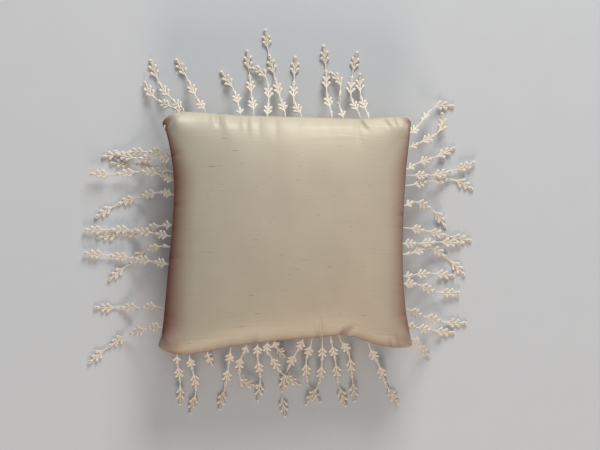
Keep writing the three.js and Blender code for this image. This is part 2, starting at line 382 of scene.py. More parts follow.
def fill_the_shoulders(panel, side):
    """Swells the cloth behind each ear's fold by shoulder (t / 5 mm) e^(1 - t / 5 mm), where t
    is the way in from the fold, fading along the fold as a bell curve."""
    places = crowded(panel.shape[0] - 1)
    off_seam = 1 - np.maximum(np.abs(places[None, :]), np.abs(places[:, None]))
    for place, _, first, last, shoulder in EARS:
        first, last = np.array(first) * MM, np.array(last) * MM
        along = (last - first) / np.linalg.norm(last - first)
        inward = np.array([-along[1], along[0]])
        middle = (first + last) / 2
        inward = inward * -np.sign(inward @ middle)
        way = (panel[..., :2] - middle) @ inward
        drift = (panel[..., :2] - middle) @ along
        share = np.clip(way / SHOULDER_WAY, 0, None)
        swell = share * np.exp(1 - share) * np.exp(-((drift / SHOULDER_SPREAD) ** 2))
        swell = swell * smooth_step(off_seam, 0, 0.03)
        panel[..., 2] += side * shoulder * MM * swell
    return panel


def ironed(move, passes=3):
    """Evens out a grid of moves: each becomes a quarter, a half and a quarter of its row's and
    its column's neighbours, while the edge stays as it is."""
    for _ in range(passes):
        inner = move.copy()
        inner[:, 1:-1] = move[:, :-2] / 4 + move[:, 1:-1] / 2 + move[:, 2:] / 4
        move = inner.copy()
        move[1:-1] = inner[:-2] / 4 + inner[1:-1] / 2 + inner[2:] / 4
        move[0], move[-1], move[:, 0], move[:, -1] = inner[0], inner[-1], inner[:, 0], inner[:, -1]
    return move


def joined_at_the_edge(upper, lower):
    """One closed mesh from two grids that share their edge: its points, its faces, and the
    vertex numbers of the upper and of the lower grid."""
    rows = upper.shape[0]
    index = np.arange(rows * rows).reshape(rows, rows)
    inner = np.zeros((rows, rows), dtype=bool)
    inner[1:-1, 1:-1] = True
    index_lower = index.copy()
    index_lower[inner] = rows * rows + np.arange(inner.sum())
    points = np.vstack([upper.reshape(-1, 3), lower[inner]])
    faces = np.vstack([quads(index), quads(index_lower)[:, ::-1]])
    return points, faces, index, index_lower


def fill_with_fibre(front, back):
    """Blows the two panels up a little round the fixed seam, as stuffing does: a cloth simulation with
    pressure, whose moves are capped."""
    points, faces, index, index_back = joined_at_the_edge(front, back)
    cover = mesh_piece("filling_trial", points, faces)
    held = cover.vertex_groups.new(name="seam")
    held.add(index[index == index_back].tolist(), 1.0, "REPLACE")
    cloth = cover.modifiers.new("filling", "CLOTH")
    silk = cloth.settings
    silk.quality = 6
    silk.mass = 0.15
    silk.tension_stiffness = 25
    silk.compression_stiffness = 25
    silk.shear_stiffness = 8
    silk.bending_stiffness = 0.3
    silk.vertex_group_mass = "seam"
    silk.use_pressure = True
    silk.uniform_pressure_force = FILL_PRESSURE
    silk.effector_weights.gravity = 0
    cloth.collision_settings.use_collision = False
    cloth.point_cache.frame_start = 1
    cloth.point_cache.frame_end = FILL_FRAMES
    scene = bpy.context.scene
    for step in range(1, FILL_FRAMES + 1):
        scene.frame_set(step)
    settled = cover.evaluated_get(bpy.context.evaluated_depsgraph_get()).to_mesh()
    filled = np.empty(len(points) * 3, dtype=np.float32)
    settled.vertices.foreach_get("co", filled)
    move = filled.reshape(-1, 3) - points
    size = np.linalg.norm(move, axis=1, keepdims=True)
    print("filling moved the silk by up to", round(float(size.max()) / MM, 1), "mm")
    move = move * np.minimum(1, FILL_CAP / np.maximum(size, 1e-9))
    bpy.data.objects.remove(cover, do_unlink=True)
    scene.frame_set(1)
    front = front + ironed(move[index])
    back = back + ironed(move[index_back])
    back[..., 2] = soft_floor(back[..., 2], 0.0)
    return front, back


def spread_weights(coarse, fine):
    """The matrix that carries values at coarse grid places to fine ones on Catmull-Rom cubics."""
    from_places = crowded(coarse)
    to_places = crowded(fine)
    start = np.clip(np.searchsorted(from_places, to_places, side="right") - 1, 0, coarse - 1)
    share = (to_places - from_places[start]) / (from_places[start + 1] - from_places[start])
    weights = np.zeros((fine + 1, coarse + 1))
    row = np.arange(fine + 1)
    square = share * share
    cube = square * share
    parts = (
        (-1, -0.5 * share + square - 0.5 * cube),
        (0, 1 - 2.5 * square + 1.5 * cube),
        (1, 0.5 * share + 2 * square - 1.5 * cube),
        (2, -0.5 * square + 0.5 * cube),
    )
    for step, weight in parts:
        np.add.at(weights, (row, np.clip(start + step, 0, coarse)), weight)
    return weights


def finer(panel):
    """The same surface with FINE_CELLS cells across."""
    weights = spread_weights(panel.shape[0] - 1, FINE_CELLS)
    return np.einsum("ai,ijk,bj->abk", weights, panel, weights)


def cloth_lengths(panel):
    """How far each point lies from the middle column and row, measured on the cloth."""
    middle = panel.shape[0] // 2
    across = np.cumsum(np.linalg.norm(np.diff(panel, axis=1), axis=2), axis=1)
    across = np.pad(across, ((0, 0), (1, 0)))
    up = np.cumsum(np.linalg.norm(np.diff(panel, axis=0), axis=2), axis=0)
    up = np.pad(up, ((1, 0), (0, 0)))
    return across - across[:, middle : middle + 1], up - up[middle : middle + 1, :]


def panel_normals(panel):
    """Unit normals, from the cross product of the rows' and the columns' directions."""
    across = np.gradient(panel, axis=1)
    up = np.gradient(panel, axis=0)
    normal = np.cross(across, up)
    return normal / np.maximum(np.linalg.norm(normal, axis=2, keepdims=True), 1e-12)


# Puckers where the seam gathers the silk, in millimetres: the side, the place along it, how far
# in it reaches, its width, its depth (less than 0 is a ridge) and how far it leans along the side.
FRONT_PUCKERS = [
    ("top", -57.5, 14, 1.6, 2.6, 1.0),
    ("top", -61.5, 16, 3.0, -0.6, 0.0),
    ("top", -51, 26, 3.6, -1.1, 2.0),
    ("top", -41, 24, 3.0, 0.7, 2.0),
    ("top", -34, 22, 1.8, 0.85, 1.0),
    ("top", -30, 24, 2.4, -0.4, 1.0),
    ("top", -24, 24, 2.0, 0.7, 0.0),
    ("top", -17, 26, 3.0, -0.35, 0.0),
    ("top", -10, 26, 2.0, 0.7, 0.0),
    ("top", -2, 24, 3.2, -0.3, 0.0),
    ("top", 7, 20, 2.0, 0.3, 0.0),
    ("top", 14, 20, 2.4, -0.25, 0.0),
    ("top", 23, 18, 2.2, 0.3, 0.0),
    ("top", 33, 18, 2.0, 0.3, 1.0),
    ("top", 43, 18, 2.0, 0.35, 1.0),
    ("top", 58, 14, 1.5, 2.3, 8.0),
    ("top", 62, 12, 2.0, -1.0, 7.0),
    ("top", 56, 28, 2.6, 1.0, 2.0),
    ("top", 78, 12, 1.4, 1.5, 7.0),
    ("top", 86, 12, 1.6, 1.3, 4.0),
    ("bottom", 43.5, 12, 1.8, 4.2, 8.0),
    ("bottom", 50, 13, 2.4, -1.4, 6.0),
    ("bottom", 30, 24, 1.3, 1.6, -1.0),
    ("bottom", 27.5, 18, 1.2, -0.8, -1.0),
    ("bottom", 24.5, 17, 1.3, 1.6, -1.0),
    ("bottom", -27, 11, 1.6, 1.6, 0.0),
    ("bottom", -8, 9, 1.8, 0.5, 0.0),
    ("bottom", -46, 8, 1.8, 0.5, 0.0),
    ("bottom", 84, 11, 1.6, 1.6, -4.0),
    ("bottom", 91, 12, 1.8, 1.8, -6.0),
    ("right", 12, 12, 2.0, 0.5, 0.0),
    ("right", -70, 12, 2.2, 0.6, 0.0),
    ("left", 62, 14, 2.6, 0.7, 0.0),
    ("left", 20, 12, 2.6, 0.6, 0.0),
    ("left", -22, 14, 2.6, 0.8, 0.0),
    ("left", -70, 12, 2.4, 0.6, 0.0),
]


def small_gathers(count):
    """Seeded little puckers all round a seam, in the same columns as FRONT_PUCKERS."""
    rows = []
    for side in SIDES:
        places = np.linspace(-88, 88, count) + rng.uniform(-2.5, 2.5, count)
        reach = rng.uniform(5, 12, count)
        width = rng.uniform(1.2, 2.2, count)
        depth = rng.uniform(0.08, 0.35, count)
        lean = rng.uniform(-1.5, 1.5, count)
        rows += [(side, *row) for row in zip(places, reach, width, depth, lean)]
    return rows


def gather(panel, puckers):
    """Presses the puckers into a panel: depth times a bell curve across each pucker times
    (1 - t)^2 (1 + 2 t), where t is the way in from the seam, seen from above, as a share of
    its reach."""
    x, y = panel[..., 0], panel[..., 1]
    inward = {"top": y[-1:] - y, "bottom": y - y[:1], "right": x[:, -1:] - x, "left": x - x[:, :1]}
    along = {"top": x, "bottom": x, "right": y, "left": y}
    press = np.zeros(panel.shape[:2])
    for side, place, reach, width, depth, lean in puckers:
        way = np.clip(inward[side] / (reach * MM), 0, 1)
        centre = (place + lean * way) * MM
        bell = np.exp(-(((along[side] - centre) / (width * (0.6 + way) * MM)) ** 2))
        press += depth * MM * bell * (1 - way) ** 2 * (1 + 2 * way)
    places = crowded(panel.shape[0] - 1)
    off_seam = 1 - np.maximum(np.abs(places[None, :]), np.abs(places[:, None]))
    press = press * smooth_step(off_seam, 0, 0.012)
    return panel - panel_normals(panel) * press[..., None]


def ripples(panel, height, reach):
    """Lays low seeded waves over a panel: a sum of sines in slightly different directions."""
    wave = np.zeros(panel.shape[:2])
    for _ in range(7):
        turn = rng.uniform(0, math.pi)
        length = rng.uniform(0.7, 1.6) * reach
        phase = rng.uniform(0, 2 * math.pi)
        along = panel[..., 0] * math.cos(turn) + panel[..., 1] * math.sin(turn)
        wave += np.sin(2 * math.pi * along / length + phase) / 7
    places = crowded(panel.shape[0] - 1)
    fade = (1 - places[None, :] ** 4) * (1 - places[:, None] ** 4)
    return panel + panel_normals(panel) * (wave * fade * height)[..., None]


# Painted shade: a rosy brown laid into the silk's colour where the cloth turns away from the light. It
# is strongest on the left and faintest on the top, which faces the light. Below are how strongly it
# shows at the seam of each side, and how far in from there, on the cloth, it fades out.
SHADE_AT_SEAM = {"top": 0.12, "right": 0.75, "bottom": 0.55, "left": 1.0}
SHADE_REACH = {"top": 7 * MM, "right": 30 * MM, "bottom": 17 * MM, "left": 38 * MM}
SHADE_NARROWING = 0.55  # the share of that reach which is lost towards the top
SHADE_NARROWS = (40 * MM, 85 * MM)  # how far up the face the narrowing starts and ends
PALE_TIPS = (13, 23)  # places in OUTLINE of the bottom ears
PALE_TIP_SHARE = 0.4  # how much of the painted shade shows at their tips
PALE_TIP_FADE = (2 * MM, 15 * MM)  # how far from a tip it starts and ends coming back


def painted_shade_share(panel):
    """How much painted shade shows: it fades out from the seam of each side, the greatest of the four
    counts, it narrows towards the top, and the bottom ears' tips stay pale."""
    across, up = cloth_lengths(panel)
    inward = {
        "top": up[-1:, :] - up,
        "bottom": up - up[:1, :],
        "right": across[:, -1:] - across,
        "left": across - across[:, :1],
    }
    shares = []
    for side in SIDES:
        reach = SHADE_REACH[side] * (1 - SHADE_NARROWING * smooth_step(panel[..., 1], *SHADE_NARROWS))
        shares.append(SHADE_AT_SEAM[side] * (1 - smooth_step(inward[side] / reach, 0, 1)))
    painted_shade = np.max(shares, axis=0)
    for place in PALE_TIPS:
        away = np.linalg.norm(panel[..., :2] - np.array(OUTLINE[place]) * HALF_SIDE, axis=-1)
        painted_shade = painted_shade * (PALE_TIP_SHARE + (1 - PALE_TIP_SHARE) * smooth_step(away, *PALE_TIP_FADE))
    return painted_shade


def panel_piece(name, panel, side, thick=SILK_THICK):
    """A grid of points as a walled sheet whose face is the outside of the cushion."""
    rows = panel.shape[0]
    faces = quads(np.arange(rows * rows).reshape(rows, rows))
    if side < 0:
        faces = faces[:, ::-1]
    across, up = cloth_lengths(panel)
    uv = np.stack([across.ravel(), up.ravel()], axis=1)
    # the share of painted shade, handed to the material as an attribute
    masks = {"painted_shade": painted_shade_share(panel).ravel()}
    piece = mesh_piece(name, panel.reshape(-1, 3), faces, uv, masks)
    wall = piece.modifiers.new("cloth thickness", "SOLIDIFY")
    wall.thickness = thick
    wall.offset = -1
    return piece


def fibre_mass(material):
    """The filling: both faces of a smaller cushion joined at their edge, in soft tufts."""
    upper = cushion_face(INNER_CELLS, 1, 17 * MM, 4.0 * MM, 0.0)
    lower = cushion_face(INNER_CELLS, -1, 17 * MM, 4.0 * MM, 0.0)
    upper = ripples(ripples(upper, 0.5 * MM, 14 * MM), 0.5 * MM, 25 * MM)
    lower = ripples(ripples(lower, 0.4 * MM, 14 * MM), 0.4 * MM, 25 * MM)
    points, faces, *_ = joined_at_the_edge(upper, lower)
    piece = mesh_piece("fibre_mass", points, faces)
    piece.data.materials.append(material)
    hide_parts("fibre_filling")
    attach(piece, "pillow")


# ---- Camera ----


def add_camera():
    """Straight down, with a long lens, and the whole fringe in the frame."""
    lens = bpy.data.cameras.new("camera")
    camera = bpy.data.objects.new("camera", lens)
    bpy.context.scene.collection.objects.link(camera)
    sensor = 36
    height = 6.0
    width_seen = 492 * MM
    middle_seen = (9.8 * MM, 4.1 * MM)
    lens.sensor_width = sensor
    lens.lens = sensor * height / width_seen
    lens.clip_start = 0.01
    camera.location = (*middle_seen, SEAM_Z + height)
    camera.rotation_euler = (0, 0, 0)
    bpy.context.scene.camera = camera
    return camera


# ---- Materials ----


def add_node(tree, kind, **settings):
    made = tree.nodes.new(kind)
    for setting, value in settings.items():
        setattr(made, setting, value)
    return made


def new_group(name, inputs, outputs):
    """A shader node group with named sockets: inputs maps names to (type, default)."""
    tree = bpy.data.node_groups.new(name, "ShaderNodeTree")
    for socket, (kind, value) in inputs.items():
        made = tree.interface.new_socket(name=socket, in_out="INPUT", socket_type=kind)
        if value is not None:
            made.default_value = value
    for socket, kind in outputs.items():
        tree.interface.new_socket(name=socket, in_out="OUTPUT", socket_type=kind)
    start = add_node(tree, "NodeGroupInput")
    end = add_node(tree, "NodeGroupOutput")
    return tree, start, end


def feed(tree, socket, value):
    """Sets a socket to a number or a colour, or links an output to it."""
    if isinstance(value, (int, float)):
        socket.default_value = value
    elif isinstance(value, tuple):
        socket.default_value = (*value, 1)
    else:
        tree.links.new(value, socket)


def arithmetic(tree, operation, *values):
    """A Math node on numbers or sockets, returning its output."""
    made = add_node(tree, "ShaderNodeMath", operation=operation)
    for socket, value in zip(made.inputs, values):
        feed(tree, socket, value)
    return made.outputs[0]


def blended(tree, factor, first, second, mode="MIX"):
    """A colour Mix node on colours or sockets, returning its output."""
    made = add_node(tree, "ShaderNodeMix", data_type="RGBA", blend_type=mode)
    for name, value in (("Factor", factor), ("A", first), ("B", second)):
        sockets = [s for s in made.inputs if s.name == name and s.enabled]
        feed(tree, sockets[0], value)
    return [s for s in made.outputs if s.enabled][0]


def remapped(tree, value, low, high, out_low=0.0, out_high=1.0):
    made = add_node(tree, "ShaderNodeMapRange", interpolation_type="SMOOTHSTEP")
    tree.links.new(value, made.inputs["Value"])
    made.inputs["From Min"].default_value = low
    made.inputs["From Max"].default_value = high
    made.inputs["To Min"].default_value = out_low
    made.inputs["To Max"].default_value = out_high
    return made.outputs["Result"]


def stretched(tree, vector, x, y):
    """The vector with its x and y multiplied, for patterns longer one way than the other."""
    joined = add_node(tree, "ShaderNodeCombineXYZ")
    for socket, value in zip(joined.inputs, (x, y, 1.0)):
        feed(tree, socket, value)
    made = add_node(tree, "ShaderNodeVectorMath", operation="MULTIPLY")
    tree.links.new(vector, made.inputs[0])
    tree.links.new(joined.outputs[0], made.inputs[1])
    return made.outputs[0]


def split(tree, vector):
    """The node whose outputs are the vector's x, y and z."""
    made = add_node(tree, "ShaderNodeSeparateXYZ")
    tree.links.new(vector, made.inputs[0])
    return made


def noise(tree, vector, detail=2.0, roughness=0.5):
    made = add_node(tree, "ShaderNodeTexNoise", noise_dimensions="2D")
    made.inputs["Scale"].default_value = 1
    made.inputs["Detail"].default_value = detail
    made.inputs["Roughness"].default_value = roughness
    tree.links.new(vector, made.inputs["Vector"])
    return made.outputs[0]


def build_slub_group():
    """Uneven yarn: noise drawn out along the weft, so that some yarns swell and thin out."""
    tree, start, end = new_group(
        "uneven_yarn",
        {
            "Vector": ("NodeSocketVector", None),
            "Along per metre": ("NodeSocketFloat", 40.0),
            "Across per metre": ("NodeSocketFloat", 1400.0),
        },
        {"Swelling": "NodeSocketFloat", "Shade": "NodeSocketFloat"},
    )
    vector = stretched(
        tree,
        start.outputs["Vector"],
        start.outputs["Along per metre"],
        start.outputs["Across per metre"],
    )
    value = noise(tree, vector, detail=3)
    tree.links.new(remapped(tree, value, 0.35, 0.75), end.inputs["Swelling"])
    tree.links.new(remapped(tree, value, 0.58, 0.78), end.inputs["Shade"])
    return tree


def build_weave_group():
    """Plain weave: rounded warp and weft threads, each over the other by turns."""
    tree, start, end = new_group(
        "plain_weave",
        {
            "Vector": ("NodeSocketVector", None),
            "Warp per metre": ("NodeSocketFloat", 3000.0),
            "Weft per metre": ("NodeSocketFloat", 2200.0),
        },
        {"Height": "NodeSocketFloat"},
    )
    parts = split(tree, start.outputs["Vector"])
    waves = []
    for part, count in ((0, "Warp per metre"), (1, "Weft per metre")):
        turns = arithmetic(tree, "MULTIPLY", parts.outputs[part], start.outputs[count])
        waves.append(arithmetic(tree, "SINE", arithmetic(tree, "MULTIPLY", turns, math.pi)))
    product = arithmetic(tree, "MULTIPLY", waves[0], waves[1])
    height = arithmetic(tree, "MULTIPLY_ADD", product, 0.5, 0.5)
    tree.links.new(height, end.inputs["Height"])
    return tree


def build_stitch_group():
    """Satin stitch: rows of thread wound round a cord, with slight unevenness."""
    tree, start, end = new_group(
        "satin_stitch",
        {
            "Vector": ("NodeSocketVector", None),
            "Stitches per metre": ("NodeSocketFloat", 2200.0),
            "Slant": ("NodeSocketFloat", 0.4),
        },
        {"Height": "NodeSocketFloat", "Shade": "NodeSocketFloat"},
    )
    parts = split(tree, start.outputs["Vector"])
    turns = arithmetic(tree, "MULTIPLY", parts.outputs[0], start.outputs["Stitches per metre"])
    slanted = arithmetic(tree, "MULTIPLY_ADD", parts.outputs[1], start.outputs["Slant"], turns)
    wave = arithmetic(tree, "SINE", arithmetic(tree, "MULTIPLY", slanted, 2 * math.pi))
    tree.links.new(arithmetic(tree, "MULTIPLY_ADD", wave, 0.5, 0.5), end.inputs["Height"])
    uneven = noise(tree, stretched(tree, start.outputs["Vector"], 300.0, 2.0))
    tree.links.new(remapped(tree, uneven, 0.35, 0.7), end.inputs["Shade"])
    return tree


def place_group(tree, group, **values):
    made = add_node(tree, "ShaderNodeGroup", node_tree=group)
    for name, value in values.items():
        feed(tree, made.inputs[name.replace("_", " ")], value)
    return made


def new_material(name, roughness, **constants):
    """A Principled material: constants are set on the shader's own sockets."""
    made = bpy.data.materials.new(name)
    made.use_nodes = True
    tree = made.node_tree
    shader = tree.nodes["Principled BSDF"]
    shader.inputs["Roughness"].default_value = roughness
    for socket, value in constants.items():
        shader.inputs[socket.replace("_", " ")].default_value = value
    return made, tree, shader


def bump(tree, shader, height, distance, strength=1.0):
    made = add_node(tree, "ShaderNodeBump")
    made.inputs["Distance"].default_value = distance
    made.inputs["Strength"].default_value = strength
    tree.links.new(height, made.inputs["Height"])
    tree.links.new(made.outputs[0], shader.inputs["Normal"])


def cloth_vector(tree):
    return add_node(tree, "ShaderNodeUVMap", uv_map="cloth").outputs[0]


def object_vector(tree):
    return add_node(tree, "ShaderNodeTexCoord").outputs["Object"]


def mask(tree, name):
    return add_node(tree, "ShaderNodeAttribute", attribute_name=name).outputs["Fac"]


def silk_material(groups):
    """Champagne dupioni: a cool beige on the left that warms to the right, painted shade in a rosy brown
    where the cloth turns away from the light, slubbed weft yarns and a soft sheen."""
    made, tree, shader = new_material(
        "dupioni_silk",
        0.42,
        Metallic=0.15,
        Sheen_Weight=0.03,
        Sheen_Roughness=0.35,
    )
    cool_beige = (0.505, 0.455, 0.345)
    warm_beige = (0.555, 0.465, 0.35)
    dull_beige = (0.44, 0.375, 0.285)
    dark_yarn = (0.30, 0.25, 0.17)
    bright_yarn = (0.72, 0.66, 0.54)
    # the colour of the painted shade on the sides turned from the light
    painted_shade_brown = (0.19, 0.042, 0.028)
    cloth = cloth_vector(tree)
    place = object_vector(tree)
    parts = split(tree, place)
    warmth = remapped(tree, parts.outputs[0], -0.09, 0.09)
    face = blended(tree, warmth, cool_beige, warm_beige)
    cloud = noise(tree, stretched(tree, place, 28.0, 20.0), detail=2)
    face = blended(tree, remapped(tree, cloud, 0.3, 0.7, 0.0, 0.30), face, dull_beige)
    yarn = place_group(
        tree, groups["yarn"], Vector=cloth, Along_per_metre=7.0, Across_per_metre=1300.0
    )
    fine = place_group(
        tree, groups["yarn"], Vector=cloth, Along_per_metre=45.0, Across_per_metre=3600.0
    )
    shade = arithmetic(tree, "MULTIPLY", yarn.outputs["Shade"], 0.10)
    face = blended(tree, shade, face, dark_yarn)
    shine = arithmetic(tree, "MULTIPLY", fine.outputs["Shade"], 0.10)
    face = blended(tree, shine, face, bright_yarn)
    # painted shade: the rosy brown over the face where the cloth turns from the light, which is also
    # rougher and less specular there
    face = blended(tree, mask(tree, "painted_shade"), face, painted_shade_brown)
    tree.links.new(face, shader.inputs["Base Color"])
    weave = place_group(tree, groups["weave"], Vector=cloth)
    height = arithmetic(tree, "MULTIPLY", weave.outputs["Height"], 0.35)
    height = arithmetic(tree, "ADD", height, yarn.outputs["Swelling"])
    height = arithmetic(tree, "MULTIPLY_ADD", fine.outputs["Swelling"], 0.5, height)
    bump(tree, shader, height, 0.00003)
    rough = remapped(tree, yarn.outputs["Swelling"], 0, 1, 0.52, 0.64)
    rough = arithmetic(tree, "MULTIPLY_ADD", mask(tree, "painted_shade"), 0.3, rough)
    tree.links.new(rough, shader.inputs["Roughness"])
    glint = remapped(tree, mask(tree, "painted_shade"), 0, 1, 0.25, 0.02)
    tree.links.new(glint, shader.inputs["Specular IOR Level"])
    return made


def slub_material():
    made, tree, shader = new_material("silk_slub", 0.6)
    cloud = noise(tree, stretched(tree, object_vector(tree), 900.0, 4000.0))
    colour = blended(tree, cloud, (0.26, 0.22, 0.14), (0.40, 0.34, 0.23))
    tree.links.new(colour, shader.inputs["Base Color"])
    bump(tree, shader, cloud, 0.00008)
    return made


def thread_material():
    made, tree, shader = new_material("sewing_thread", 0.55)
    fuzz = noise(tree, stretched(tree, object_vector(tree), 1500.0, 1500.0))
    colour = blended(tree, fuzz, (0.42, 0.34, 0.25), (0.58, 0.49, 0.37))
    tree.links.new(colour, shader.inputs["Base Color"])
    bump(tree, shader, fuzz, 0.00006)
    return made


def lace_material(groups):
    """Cream guipure: satin-stitched cords, with painted shade between the stitches and in the buds'
    hollows.
    """
    made, tree, shader = new_material("guipure_lace", 0.62, Sheen_Weight=0.2, Sheen_Roughness=0.4)
    cloth = cloth_vector(tree)
    stitch = place_group(tree, groups["stitch"], Vector=cloth)
    cream = blended(tree, stitch.outputs["Shade"], (0.86, 0.76, 0.63), (0.92, 0.84, 0.73))
    # painted shade: a darker brown between the rows of stitches
    gap = arithmetic(tree, "SUBTRACT", 1.0, stitch.outputs["Height"])
    cream = blended(tree, arithmetic(tree, "MULTIPLY", gap, 0.22), cream, (0.50, 0.38, 0.27))
    # painted shade: near black brown in the buds' hollows
    cream = blended(tree, mask(tree, "hollow_shade"), cream, (0.20, 0.12, 0.08))
    tree.links.new(cream, shader.inputs["Base Color"])
    bump(tree, shader, stitch.outputs["Height"], 0.00012)
    return made


def muslin_material(groups):
    made, tree, shader = new_material("cotton_muslin", 0.9, Sheen_Weight=0.1)
    cloth = cloth_vector(tree)
    weave = place_group(
        tree, groups["weave"], Vector=cloth, Warp_per_metre=1600.0, Weft_per_metre=1600.0
    )
    colour = blended(tree, weave.outputs["Height"], (0.66, 0.61, 0.50), (0.82, 0.78, 0.68))
    tree.links.new(colour, shader.inputs["Base Color"])
    bump(tree, shader, weave.outputs["Height"], 0.0002)
    return made


def fibre_material():
    """Polyester fibre: near white, matted into soft tufts."""
    made, tree, shader = new_material("polyester_fibre", 1.0, Sheen_Weight=0.4)
    tufts = noise(tree, stretched(tree, object_vector(tree), 260.0, 260.0), detail=6)
    colour = blended(tree, tufts, (0.76, 0.76, 0.74), (0.93, 0.93, 0.91))
    tree.links.new(colour, shader.inputs["Base Color"])
    bump(tree, shader, tufts, 0.002)
    return made


def floor_material():
    made, tree, shader = new_material("pale_table", 0.8)
    grain = noise(tree, stretched(tree, object_vector(tree), 40.0, 40.0), detail=4)
    colour = blended(tree, grain, (0.60, 0.605, 0.61), (0.62, 0.625, 0.63))
    tree.links.new(colour, shader.inputs["Base Color"])
    return made


# ---- Lace ----


def turned(points, turn):
    """Points turned about +Z, in a side's own frame or back from it."""
    spin = np.array([[math.cos(turn), -math.sin(turn)], [math.sin(turn), math.cos(turn)]])
    out = np.array(points, float)
    out[..., :2] = out[..., :2] @ spin.T
    return out


def seam_out(side, along):
    """How far out the seam lies at places along a side, in the side's own frame."""
    line = turned(SEAM_LINE, -SIDES[side][0])
    start, end = line[:-1], line[1:]
    places = np.atleast_1d(along)[:, None]
    width = end[:, 0] - start[:, 0]
    share = (places - start[:, 0]) / np.where(np.abs(width) < 1e-12, 1e-12, width)
    height = start[:, 1] + share * (end[:, 1] - start[:, 1])
    return np.where((share >= 0) & (share <= 1), height, -1).max(axis=1)


def drop_line(side, row):
    """A drop's middle line in its side's own frame: a smooth plan along its route, falling from
    the seam as (1 - distance / run)^2 to its layer, with a short tail tucked into the seam."""
    root, lift, *route = row
    root = root * MM
    seam = float(seam_out(side, root)[0])
    stops = [(root, seam + ROOT_GAP)] + [(root + d * MM, seam + o * MM) for o, d in route]
    plan = even_points(smooth_curve(stops, np.linspace(0, 1, PLAN_POINTS)), DROP_POINTS)
    length = lengths_along(plan)[-1]
    run = min(FALL_RUN, length * SHORT_FALL)
    lie = TABLE_GAP + LACE_THICK / 2 + lift * LAYER_STEP
    left = np.clip(1 - np.linspace(0, 1, DROP_POINTS) * length / run, 0, 1)
    line = np.column_stack([plan, lie + (SEAM_Z - lie) * left**2])
    tail = np.array([[root, seam - ROOT_TUCK, SEAM_Z], [root, seam - 0.4 * MM, SEAM_Z]])
    return np.vstack([tail, line]), lengths_along(line)[-1]


class DropFrame:
    """Places on a drop by distance from its tip: the point, and the ways along, out and up."""

    def __init__(self, line):
        line = line[::-1]
        total = lengths_along(line)[-1]
        self.steps = np.linspace(0, total, DROP_STEPS)
        self.points = at_lengths(line, self.steps)
        self.points = smooth_rows(self.points, 5)
        along = np.gradient(self.points, axis=0)
        self.along = along / np.linalg.norm(along, axis=1, keepdims=True)
        out = np.column_stack([-self.along[:, 1], self.along[:, 0], np.zeros(DROP_STEPS)])
        self.out = out / np.linalg.norm(out, axis=1, keepdims=True)
        self.up = np.cross(self.out, self.along)
        self.up = self.up * np.sign(self.up[:, 2:3])
        self.total = total

    def look(self, table, places):
        """The rows of a table, one of this frame's own, at places along the drop."""
        flat = places.ravel()
        found = [np.interp(flat, self.steps, column) for column in table.T]
        return np.stack(found, axis=1).reshape(*places.shape, 3)


def smooth_rows(rows, reach):
    """A running mean along a line that keeps its ends."""
    kernel = np.ones(2 * reach + 1) / (2 * reach + 1)
    padded = np.vstack([np.repeat(rows[:1], reach, 0), rows, np.repeat(rows[-1:], reach, 0)])
    smoothed = np.stack([np.convolve(column, kernel, mode="valid") for column in padded.T], 1)
    share = np.minimum(np.arange(len(rows)), np.arange(len(rows))[::-1]) / reach
    share = np.clip(share, 0, 1)[:, None]
    return rows * (1 - share) + smoothed * share


def lay_cords(drop, tip, out, lift, wide, thick, sides, twist):
    """Cords laid on a drop. Ring centres stand at distances tip from the drop's tip, out to its
    side and lift above it, and each ring is an ellipse wide by thick across its cord. All are
    arrays of one row per cord. twist turns the cord about the drop's own line."""
    centre = drop.look(drop.points, tip)
    along = drop.look(drop.along, tip)
    across = drop.look(drop.out, tip)
    up = drop.look(drop.up, tip)
    turn = twist(tip)[..., None]
    across, up = (
        across * np.cos(turn) + up * np.sin(turn),
        up * np.cos(turn) - across * np.sin(turn),
    )
    run = np.gradient(tip, axis=1)
    rise = np.gradient(out, axis=1)
    size = np.maximum(np.hypot(run, rise), 1e-12)
    normal = across * (run / size)[..., None] - along * (rise / size)[..., None]
    centre = centre + across * out[..., None] + up * lift[..., None]
    angle = np.linspace(0, 2 * math.pi, sides, endpoint=False)
    sideways = normal[:, :, None] * (np.cos(angle)[None, None] * wide[..., None] / 2)[..., None]
    upward = up[:, :, None] * (np.sin(angle)[None, None] * thick[..., None] / 2)[..., None]
    points = centre[:, :, None] + sideways + upward
    faces = tube_faces(*tip.shape, sides)
    length = np.cumsum(size, axis=1)[..., None] + np.zeros(sides)
    around = np.zeros_like(length) + angle / (2 * math.pi)
    uv = np.stack([length.ravel(), around.ravel()], axis=1)
    return points.reshape(-1, 3), faces, uv


# The four leaves of a sprig: how far from the sprig's tip each leaves the stem, its length, and
# how far out to its side the end stands, in millimetres.
LEAF_ORIGINS = np.array([17.0, 17.0, 12.2, 12.2])
LEAF_LENGTHS = np.array([6.6, 6.6, 6.4, 6.4])
LEAF_SPREADS = np.array([3.4, -3.4, 3.0, -3.0])
LEAF_SIDES = 6
# Shares along a leaf, and its width and thickness there in millimetres.
LEAF_PLACES = np.array([0, 0.16, 0.34, 0.52, 0.66, 0.78, 0.9, 0.97, 1.0])
LEAF_WIDE = np.array([0.0, 1.15, 1.45, 1.8, 2.4, 2.95, 2.85, 1.8, 0.0])
LEAF_THICK = np.array([0.0, 0.7, 0.85, 1.0, 1.2, 1.4, 1.3, 0.85, 0.0])
